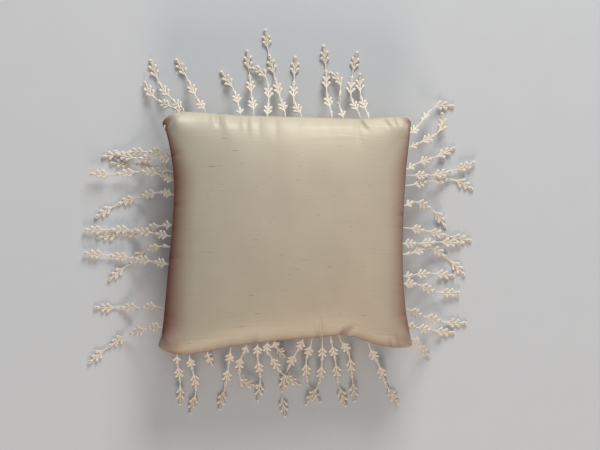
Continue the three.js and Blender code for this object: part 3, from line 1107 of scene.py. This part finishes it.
# Stem, bud and bare thread of one sprig: distance from the sprig's tip, width, thickness.
STEM_PLACES = np.array([0, 0.25, 0.8, 1.5, 2.2, 3.0, 4.0, 5.0, 6.5, 9, 12, 15, 17, 18.5, 20, 21])
TIP_WIDE = np.array([0, 1.7, 2.6, 3.0, 3.0, 2.7, 2.3, 1.9, 1.5, 1.3, 1.3, 1.3, 1.5, 1.2, 1.0, 0.95])
BUD_WIDE = np.array([1.0, 1.3, 2.1, 2.8, 3.1, 3.0, 2.6, 2.1, 1.6, 1.3, 1.3, 1.3, 1.5, 1.2, 1.0, 0.95])
STEM_SIDES = 8
BUD_PLACE = 2.1 * MM  # from a sprig's tip to the fattest part of its bud
LAST_BARE = 7 * MM  # a drop's last stretch, in which no new sprig starts
LOWEST_LACE = 0.08 * MM  # above the table


# Drops with one sprig turned on its side: distance of that sprig from the tip, and the turn.
SIDE_ON = {
    "top_drop_10": (30, 75),
    "right_drop_01": (34, 60),
}
SIDE_ON_REACH = 9 * MM  # the bell curve of that turn


def stem_cord(drop, sprigs, twist):
    """The stem, whose width swells into a bud on each sprig, and its mask of painted shade in the buds'
    hollows.
    """
    places, widths = [], []
    for sprig in range(sprigs):
        places.append(STEM_PLACES[:-1] * MM + sprig * SPRIG_PITCH)
        widths.append((TIP_WIDE if sprig == 0 else BUD_WIDE)[:-1] * MM)
    places = np.concatenate(places)
    widths = np.concatenate(widths)
    kept = places < drop.total - 1.5 * MM
    places = np.append(places[kept], [drop.total - 0.5 * MM, drop.total - 0.1 * MM])[None]
    widths = np.append(widths[kept], [0.7 * MM, 0.0])[None]
    thick = np.minimum(widths, 0.75 * widths + 0.15 * MM) * (widths > 0)
    flat = np.zeros_like(places)
    fat = np.abs(np.mod(places[0], SPRIG_PITCH) - BUD_PLACE) < 0.5 * MM
    # painted shade: two dark spots, on the top and the underside of each bud's fattest part
    hollow_shade = np.zeros((places.shape[1], STEM_SIDES))
    hollow_shade[fat, STEM_SIDES // 4] = 1.0
    hollow_shade[fat, 3 * STEM_SIDES // 4] = 1.0
    return lay_cords(drop, places, flat, flat, widths, thick, STEM_SIDES, twist), hollow_shade.ravel()


def leaf_cords(drop, sprigs, twist):
    """The leaves, two pairs a sprig: each stands w = spread x^1.4 out from the stem over its
    length, and curls up at its end as x^2. Leaves past the root are left out."""
    draw = rng.uniform(-1, 1, (sprigs, 4, 3))
    tips, outs, lifts, wides, thicks = [], [], [], [], []
    for sprig in range(sprigs):
        start = LEAF_ORIGINS * MM + sprig * SPRIG_PITCH + draw[sprig, :, 0] * 0.35 * MM
        long = LEAF_LENGTHS * MM * (1 + 0.06 * draw[sprig, :, 1])
        wide = LEAF_SPREADS * MM * (1 + 0.10 * draw[sprig, :, 2])
        curl = 0.25 * MM * (1 + draw[sprig, :, 0])
        whole = start < drop.total - 0.8 * MM
        tips.append((start[:, None] - long[:, None] * LEAF_PLACES)[whole])
        outs.append((wide[:, None] * LEAF_PLACES**1.4)[whole])
        lifts.append((curl[:, None] * LEAF_PLACES**2)[whole])
        wides.append(np.tile(LEAF_WIDE * MM, (int(whole.sum()), 1)))
        thicks.append(np.tile(LEAF_THICK * MM, (int(whole.sum()), 1)))
    leaves = [np.concatenate(rows) for rows in (tips, outs, lifts, wides, thicks)]
    return lay_cords(drop, *leaves, LEAF_SIDES, twist)


def lace_drop(side, number, row, material):
    """One lace drop, a stem and its leaves."""
    name = f"{side}_drop_{number:02d}"
    line, length = drop_line(side, row)
    drop = DropFrame(line)
    sprigs = int(math.ceil((length - LAST_BARE) / SPRIG_PITCH))
    twist_at, twist_angle = SIDE_ON.get(name, (0, 0))

    def twist(tip):
        near = np.exp(-(((tip - twist_at * MM) / SIDE_ON_REACH) ** 2))
        return twist_angle * DEGREE * near

    stem, hollow_shade = stem_cord(drop, sprigs, twist)
    leaves = leaf_cords(drop, sprigs, twist)
    points = np.vstack([stem[0], leaves[0]])
    faces = np.vstack([stem[1], leaves[1] + len(stem[0])])
    uv = np.vstack([stem[2], leaves[2]])
    hollow_shade = np.concatenate([hollow_shade, np.zeros(len(leaves[0]))])
    points = points - UP * np.minimum(points[:, 2:3] - LOWEST_LACE, 0)
    turn = SIDES[side][0]
    points = turned(points, turn)
    piece = mesh_piece(f"lace_{name}", points, faces, uv, {"hollow_shade": hollow_shade})
    close_poles(piece)
    piece.data.materials.append(material)
    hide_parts(name)
    hinge = SIDES[side][1] * HALF_SIDE
    root = row[0] * MM
    seam = float(seam_out(side, root)[0])
    start = turned(np.array([root, seam - BEND_START, SEAM_Z]), turn)
    end = turned(np.array([root, hinge + BEND_END, SEAM_Z]), turn)
    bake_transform(piece)
    return piece


def lace_heading(side, material):
    """The flat heading in the seam: a band with a rounded edge that scallops by 0.5 mm."""
    reach = HALF_SIDE - HEADING_END_GAP
    along = np.linspace(-reach, reach, HEADING_RINGS)
    outer = seam_out(side, along) - 0.2 * MM
    scallop = SCALLOP * np.abs(np.sin(math.pi * along / SCALLOP_PITCH))
    angle = np.linspace(0, 2 * math.pi, HEADING_SIDES, endpoint=False)
    middle = outer - scallop / 2 - HEADING_WIDTH / 2
    half = HEADING_WIDTH / 2 - scallop / 2
    edge = np.sign(np.cos(angle)) * np.abs(np.cos(angle)) ** 0.35
    y = middle[:, None] + half[:, None] * edge[None]
    z = SEAM_Z + HEADING_THICK / 2 * np.sin(angle)[None] + np.zeros_like(y)
    x = np.repeat(along[:, None], HEADING_SIDES, axis=1)
    points = np.stack([x, y, z], axis=-1)
    ends = points[[0, -1]].mean(axis=1, keepdims=True).repeat(HEADING_SIDES, axis=1)
    points = np.concatenate([ends[:1], points, ends[1:]])
    index = np.arange(len(points) * HEADING_SIDES).reshape(-1, HEADING_SIDES)
    index = np.concatenate([index, index[:, :1]], axis=1)
    faces = quads(index)[:, ::-1]
    uv = np.stack([points[..., 0].ravel(), points[..., 1].ravel()], axis=1)
    points = turned(points.reshape(-1, 3), SIDES[side][0])
    piece = mesh_piece(f"heading_{side}", points, faces, uv, {"hollow_shade": np.zeros(len(points))})
    close_poles(piece)
    piece.data.materials.append(material)
    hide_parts(f"{side}_heading")
    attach(piece, "pillow")
    return piece


# ---- Slubs and stitches on the silk ----

# Slubs that stand out on the face: place across and up, and length, in millimetres.
SLUBS = [
    (-52, 75, 6), (-43, 65, 5), (-62, 52, 7), (-30, -53, 5), (-25, -68, 6), (-81, -93, 4),
    (10, 52, 3), (-5, -20, 4), (34, -30, 4), (4, -31, 3), (62, -70, 5), (-64, -18, 4),
]


def height_on(panel, x, y):
    """The height of a panel's surface over places x, y, from its nearest grid points."""
    flat = panel.reshape(-1, 3)
    away = (flat[None, :, 0] - x[:, None]) ** 2 + (flat[None, :, 1] - y[:, None]) ** 2
    near = np.argsort(away, axis=1)[:, :4]
    weight = 1 / (np.take_along_axis(away, near, axis=1) + 1e-10)
    return (flat[near][..., 2] * weight).sum(axis=1) / weight.sum(axis=1)


def silk_slubs(panel, material):
    """Thick places in the weft: spindles that follow the face, radius times sin(pi t)."""
    count, steps, sides = 46, 9, 6
    places = np.column_stack([rng.uniform(-82, 82, count), rng.uniform(-82, 80, count)])
    long = rng.uniform(1.2, 3.6, count)
    rows = np.vstack([np.array(SLUBS, float), np.column_stack([places, long])])
    share = np.linspace(0, 1, steps)
    x = (rows[:, 0:1] + rows[:, 2:3] * (share[None] - 0.5)) * MM
    y = np.repeat(rows[:, 1:2] * MM, steps, axis=1) + rng.uniform(-0.1, 0.1, x.shape) * MM
    z = height_on(panel, x.ravel(), y.ravel()).reshape(x.shape)
    radius = np.where(rows[:, 2:3] > 3.9, 0.30, 0.20) * MM * np.sin(math.pi * share)[None]
    angle = np.linspace(0, 2 * math.pi, sides, endpoint=False)
    centre = np.stack([x, y, z], axis=-1)[:, :, None]
    ring = np.stack([np.zeros(sides), np.cos(angle), 0.5 * np.sin(angle)], axis=-1)
    points = centre + radius[..., None, None] * ring[None, None]
    faces = tube_faces(len(rows), steps, sides)
    piece = mesh_piece("silk_slubs", points.reshape(-1, 3), faces)
    close_poles(piece)
    piece.data.materials.append(material)
    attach(piece, "pillow")
    return piece


def seam_thread(material):
    """The sewing thread round the seam: a closed tube whose width goes as
    0.55 + 0.45 |sin(pi s / stitch)|, where s is the way along the seam."""
    rings, sides = 1600, 6
    line = even_points(SEAM_LINE, rings + 1)[:-1]
    along = np.roll(line, -1, axis=0) - np.roll(line, 1, axis=0)
    along = along / np.linalg.norm(along, axis=1, keepdims=True)
    out = np.column_stack([-along[:, 1], along[:, 0], np.zeros(rings)])
    total = lengths_along(SEAM_LINE)[-1]
    stitches = round(total / STITCH)
    share = np.arange(rings) / rings
    wide = SEAM_THREAD * (0.55 + 0.45 * np.abs(np.sin(math.pi * stitches * share)))
    angle = np.linspace(0, 2 * math.pi, sides, endpoint=False)
    around = out[:, None] * np.cos(angle)[None, :, None] + UP * np.sin(angle)[None, :, None]
    centre = np.column_stack([line, np.full(rings, SEAM_Z)]) - out * THREAD_INSET
    points = centre[:, None] + around * wide[:, None, None] / 2
    points = drop_the_ears(points)
    index = np.arange(rings * sides).reshape(rings, sides)
    onward = np.roll(index, -1, axis=0)
    faces = np.stack(
        [index, np.roll(index, -1, axis=1), np.roll(onward, -1, axis=1), onward], axis=-1
    )
    uv = np.column_stack([np.repeat(share * total, sides), np.tile(angle, rings)])
    piece = mesh_piece("seam_thread", points.reshape(-1, 3), faces.reshape(-1, 4), uv)
    piece.data.materials.append(material)
    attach(piece, "pillow")


# ---- The stage ----


def aim(obj, target):
    """Turns a light so that it faces the target."""
    way = Vector(target) - obj.location
    obj.rotation_euler = way.to_track_quat("-Z", "Y").to_euler()


def area_light(name, place, target, size, power, colour):
    lamp = bpy.data.lights.new(name, "AREA")
    lamp.shape = "DISK"
    lamp.size = size
    lamp.energy = power
    lamp.color = colour
    made = bpy.data.objects.new(name, lamp)
    bpy.context.scene.collection.objects.link(made)
    made.location = place
    aim(made, target)
    return made


def set_stage():
    """The pale table, a dim sky and three soft lights."""
    half = 4.0
    points = np.array([[-half, -half, 0], [half, -half, 0], [half, half, 0], [-half, half, 0]])
    points[:, 2] = -0.2 * MM
    floor = mesh_piece("table_top", points, np.array([[0, 1, 2, 3]]))
    floor.data.materials.append(floor_material())
    world = bpy.data.worlds.new("studio")
    world.use_nodes = True
    sky = world.node_tree.nodes["Background"]
    sky.inputs["Color"].default_value = (0.95, 0.97, 1.0, 1)
    sky.inputs["Strength"].default_value = 0.28
    bpy.context.scene.world = world
    centre = (0, 0, 0.03)
    area_light("window", (0.40, 1.8, 0.80), centre, 0.9, 39, (0.95, 0.98, 1.0))
    area_light("far_wall", (0.15, -1.8, 0.80), centre, 0.9, 19.5, (1.0, 0.86, 0.76))
    area_light("overhead", (0.0, 0.2, 1.9), centre, 1.2, 3, (1.0, 0.98, 0.95))
    view = bpy.context.scene.view_settings
    view.view_transform = "Standard"
    view.look = "None"
    view.exposure = 0.0


# ---- Making ----

add_camera()
set_stage()
groups = {
    "yarn": build_slub_group(),
    "weave": build_weave_group(),
    "stitch": build_stitch_group(),
}
silk = silk_material(groups)
lace = lace_material(groups)
muslin = muslin_material(groups)

front = drop_the_ears(cushion_face(COARSE_CELLS, 1))
back = drop_the_ears(cushion_face(COARSE_CELLS, -1))
front, back = fill_with_fibre(front, back)
front = ripples(fill_the_shoulders(finer(front), 1), 0.35 * MM, 45 * MM)
back = ripples(fill_the_shoulders(finer(back), -1), 0.3 * MM, 45 * MM)
front = gather(front, FRONT_PUCKERS + small_gathers(17))
back = gather(back, small_gathers(19))
back[..., 2] = np.maximum(back[..., 2], 0.0)

silk_front = panel_piece("silk_front", front, 1)
silk_back = panel_piece("silk_back", back, -1)
for piece, node in ((silk_front, "front_panel"), (silk_back, "back_panel")):
    piece.data.materials.append(silk)
    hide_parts(node)
    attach(piece, "pillow")

for name, node, side in (("muslin_front", "form_front", 1), ("muslin_back", "form_back", -1)):
    shape = ripples(cushion_face(INNER_CELLS, side, 15 * MM, 2.2 * MM, 0.4 * MM), 0.3 * MM, 30 * MM)
    piece = panel_piece(name, shape, side, 0.5 * MM)
    piece.data.materials.append(muslin)
    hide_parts(node)
    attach(piece, "pillow")


fibre_mass(fibre_material())
silk_slubs(front, slub_material())
seam_thread(thread_material())
for side, rows in DROPS.items():
    lace_heading(side, lace)
    for number, row in enumerate(rows, start=1):
        lace_drop(side, number, row, lace)
